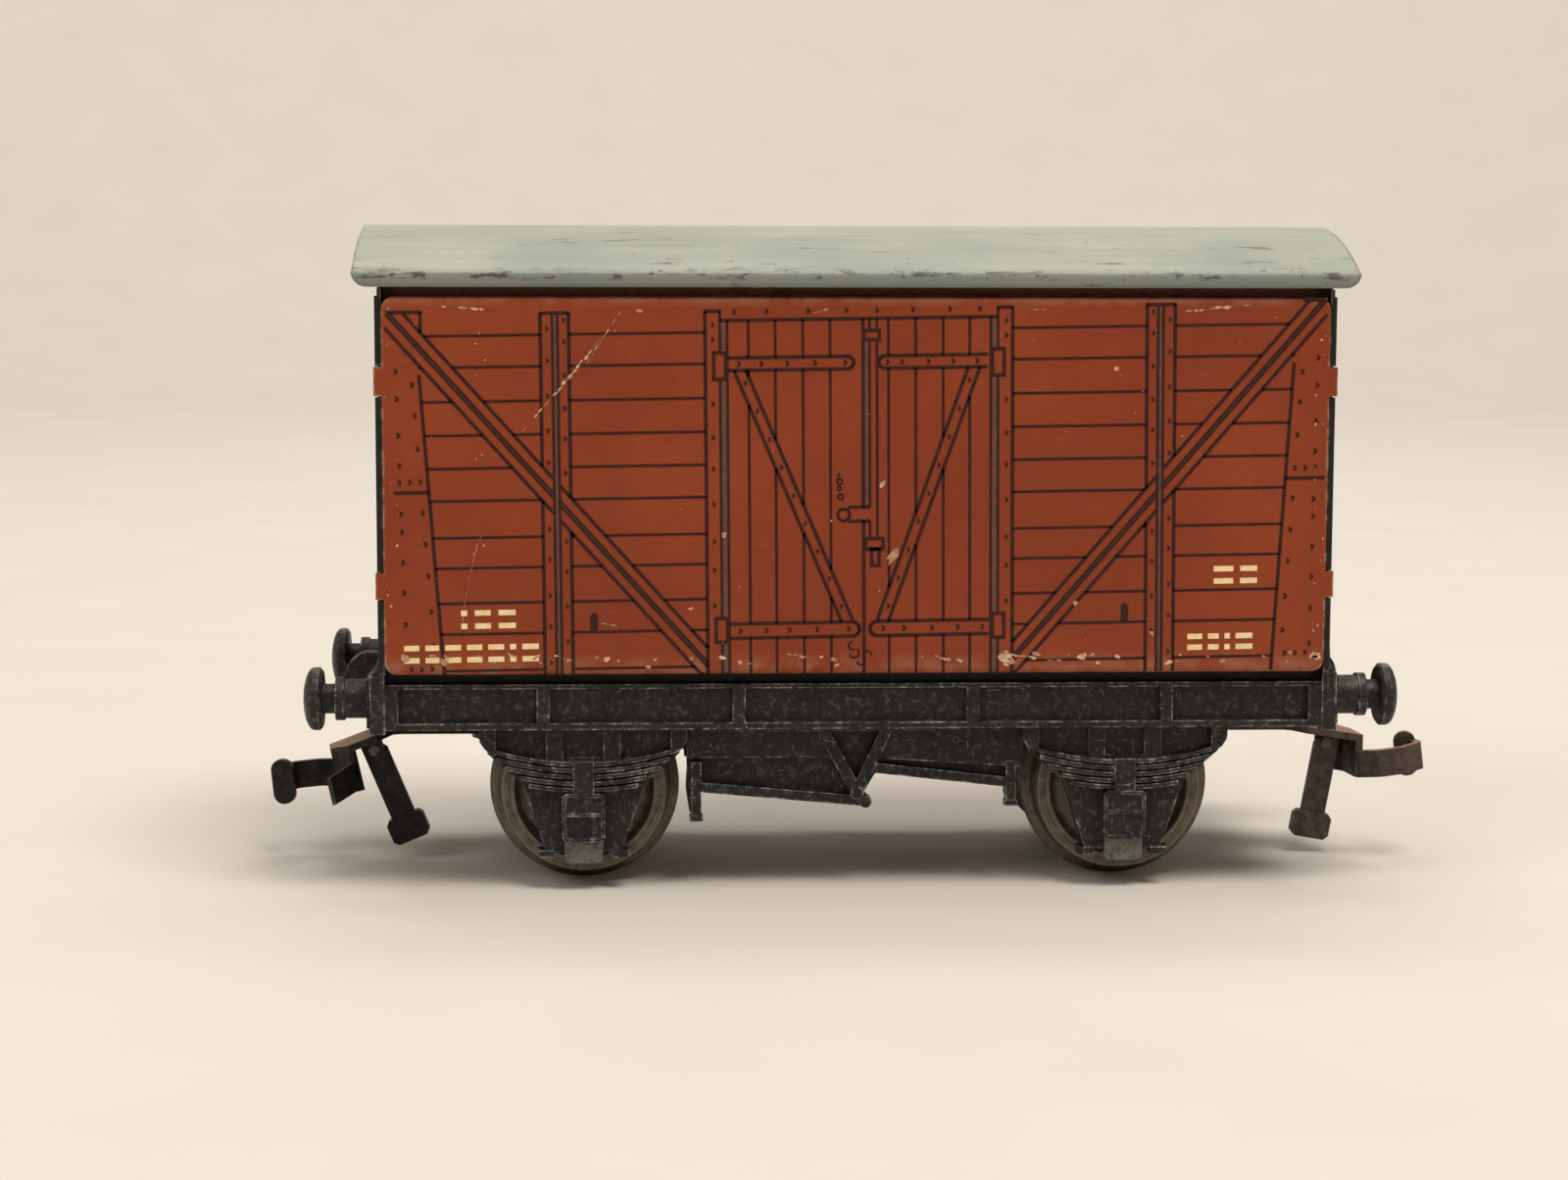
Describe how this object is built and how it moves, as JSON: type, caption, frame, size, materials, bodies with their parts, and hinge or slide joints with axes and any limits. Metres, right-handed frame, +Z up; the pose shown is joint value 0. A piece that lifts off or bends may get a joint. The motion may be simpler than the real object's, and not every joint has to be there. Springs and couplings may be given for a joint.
{
  "type": "model railway goods van",
  "caption": "Small-gauge model covered goods van: tinplate body with printed planking, arched roof, cast underframe, spinning wheelsets and hook couplings.",
  "frame": {"origin": "on the surface the wheel flanges stand on, under the middle of the van between the two wheelsets", "axes": "+X along the van to the right-hand end as seen from the near side, +Y across to the far side, +Z up"},
  "size_m": [0.0897, 0.0308, 0.0488],
  "materials": {
    "casting_black": "worn satin black paint on a zinc casting, grey on its edges",
    "body_tinplate": "semi-gloss red-brown printed tinplate with dark line work",
    "roof_tinplate": "satin pale grey-green enamel, scratched",
    "wheel_casting": "dull brown-grey metal with rust",
    "axle_steel": "dull steel",
    "coupling_steel": "blackened steel strip with rust",
    "rivet_steel": "dull steel"
  },
  "bodies": {
    "wagon": {"underframe_casting": "casting_black", "body_side_near": "body_tinplate", "body_side_far": "body_tinplate", "body_end_left": "body_tinplate", "body_end_right": "body_tinplate", "roof": "roof_tinplate", "coupling_rivet_left": "rivet_steel", "coupling_washer_left": "rivet_steel", "coupling_rivet_right": "rivet_steel", "coupling_washer_right": "rivet_steel"},
    "wheelset_left": {"axle_left": "axle_steel", "wheel_near_left": "wheel_casting", "wheel_far_left": "wheel_casting"},
    "coupling_left": {"coupling_hook_left": "coupling_steel", "dropper_pin_left": "rivet_steel"},
    "dropper_left": {"dropper_left": "coupling_steel"},
    "wheelset_right": {"axle_right": "axle_steel", "wheel_near_right": "wheel_casting", "wheel_far_right": "wheel_casting"},
    "coupling_right": {"coupling_hook_right": "coupling_steel", "dropper_pin_right": "rivet_steel"},
    "dropper_right": {"dropper_right": "coupling_steel"}
  },
  "joints": [
    {"name": "wheelset_spin_left", "type": "hinge", "parent": "wagon", "child": "wheelset_left", "pos_m": [-0.02, 0, 0.0071], "axis": [0, 1, 0], "continuous": true},
    {"name": "wheelset_spin_right", "type": "hinge", "parent": "wagon", "child": "wheelset_right", "pos_m": [0.02, 0, 0.0071], "axis": [0, 1, 0], "continuous": true},
    {"name": "coupling_swing_left", "type": "hinge", "parent": "wagon", "child": "coupling_left", "pos_m": [-0.0268, 0, 0.0102], "axis": [0, 0, 1], "range_deg": [-12, 12]},
    {"name": "coupling_swing_right", "type": "hinge", "parent": "wagon", "child": "coupling_right", "pos_m": [0.0268, 0, 0.0102], "axis": [0, 0, 1], "range_deg": [-12, 12]},
    {"name": "dropper_swing_left", "type": "hinge", "parent": "coupling_left", "child": "dropper_left", "pos_m": [-0.03628, 0, 0.00857], "axis": [0, -1, 0], "range_deg": [0, 45]},
    {"name": "dropper_swing_right", "type": "hinge", "parent": "coupling_right", "child": "dropper_right", "pos_m": [0.03795, 0, 0.00873], "axis": [0, 1, 0], "range_deg": [0, 45]}
  ]
}
